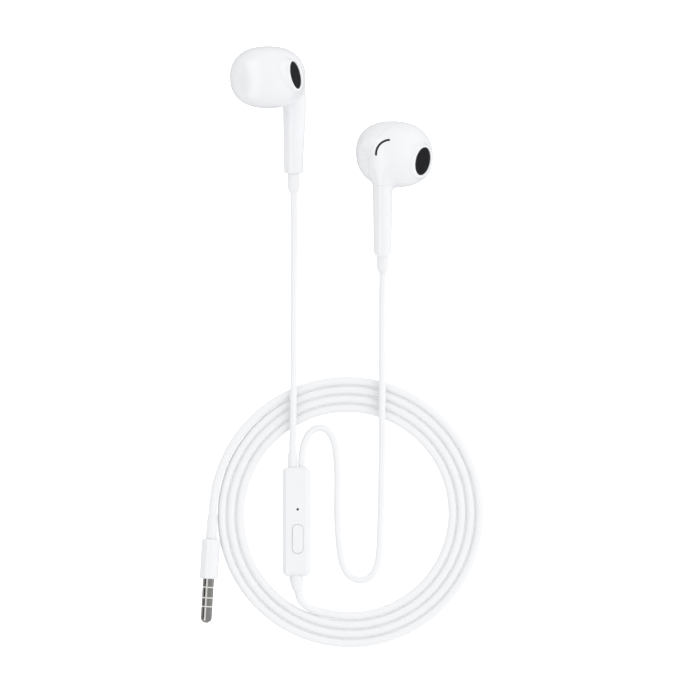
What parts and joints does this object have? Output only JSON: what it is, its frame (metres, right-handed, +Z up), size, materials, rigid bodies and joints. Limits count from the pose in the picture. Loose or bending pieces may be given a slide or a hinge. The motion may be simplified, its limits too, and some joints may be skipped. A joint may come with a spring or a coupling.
{
  "type": "wired earphones",
  "caption": "Wired stem-style earphones with an in-line button remote and microphone, trunk cord wound in a flat coil, and a 3.5 mm headset plug.",
  "frame": {"origin": "on the surface the set lies on, within half a millimetre of the point under the middle of the two earbuds' common box", "axes": "+Z up from the surface, +Y from the coil towards the earbuds, +X to the right as the set is seen from above"},
  "size_m": [0.09, 0.1905, 0.0248],
  "materials": {
    "gloss_white_shell": "glossy moulded white",
    "soft_white_relief": "satin moulded elastomer",
    "white_cord_jacket": "smooth satin jacket",
    "black_mesh": "fine black woven mesh",
    "dark_plastic": "matte moulded",
    "steel_can": "plated steel",
    "diaphragm_film": "thin polymer film",
    "board_laminate": "green solder mask",
    "enamelled_copper": "enamelled copper wire",
    "insulator": "smooth off-white moulding",
    "nickel_plating": "bright nickel plate with fine turning marks"
  },
  "bodies": {
    "set": {"jack_insulation": "insulator", "jack_lower_ring": "nickel_plating", "jack_sleeve": "nickel_plating", "jack_tip": "nickel_plating", "jack_upper_ring": "nickel_plating", "left_cord": "white_cord_jacket", "left_cord_knot": "white_cord_jacket", "left_driver_board": "board_laminate", "left_driver_diaphragm": "diaphragm_film", "left_driver_frame": "dark_plastic", "left_driver_magnet": "steel_can", "left_front_shell": "gloss_white_shell", "left_lead_wires": "enamelled_copper", "left_rear_shell": "gloss_white_shell", "left_speaker_grille": "black_mesh", "left_strain_relief": "soft_white_relief", "left_vent_mesh": "black_mesh", "plug_barrel": "gloss_white_shell", "plug_sleeve": "soft_white_relief", "plug_solder_block": "insulator", "remote_circuit_board": "board_laminate", "remote_front_shell": "gloss_white_shell", "remote_left_sleeve": "soft_white_relief", "remote_microphone": "steel_can", "remote_microphone_mesh": "black_mesh", "remote_rear_shell": "gloss_white_shell", "remote_right_grommet": "soft_white_relief", "remote_switch_body": "dark_plastic", "remote_trunk_relief": "soft_white_relief", "right_cord": "white_cord_jacket", "right_cord_knot": "white_cord_jacket", "right_driver_board": "board_laminate", "right_driver_diaphragm": "diaphragm_film", "right_driver_frame": "dark_plastic", "right_driver_magnet": "steel_can", "right_front_shell": "gloss_white_shell", "right_lead_wires": "enamelled_copper", "right_rear_shell": "gloss_white_shell", "right_speaker_grille": "black_mesh", "right_strain_relief": "soft_white_relief", "right_vent_mesh": "black_mesh", "trunk_coil": "white_cord_jacket"},
    "button": {"remote_button": "gloss_white_shell", "remote_switch_plunger": "dark_plastic"}
  },
  "joints": [
    {"name": "button_press", "type": "slide", "parent": "set", "child": "button", "axis": [0, 0, -1], "range_m": [0, 0.0003], "stiffness_N_per_m": 500}
  ]
}
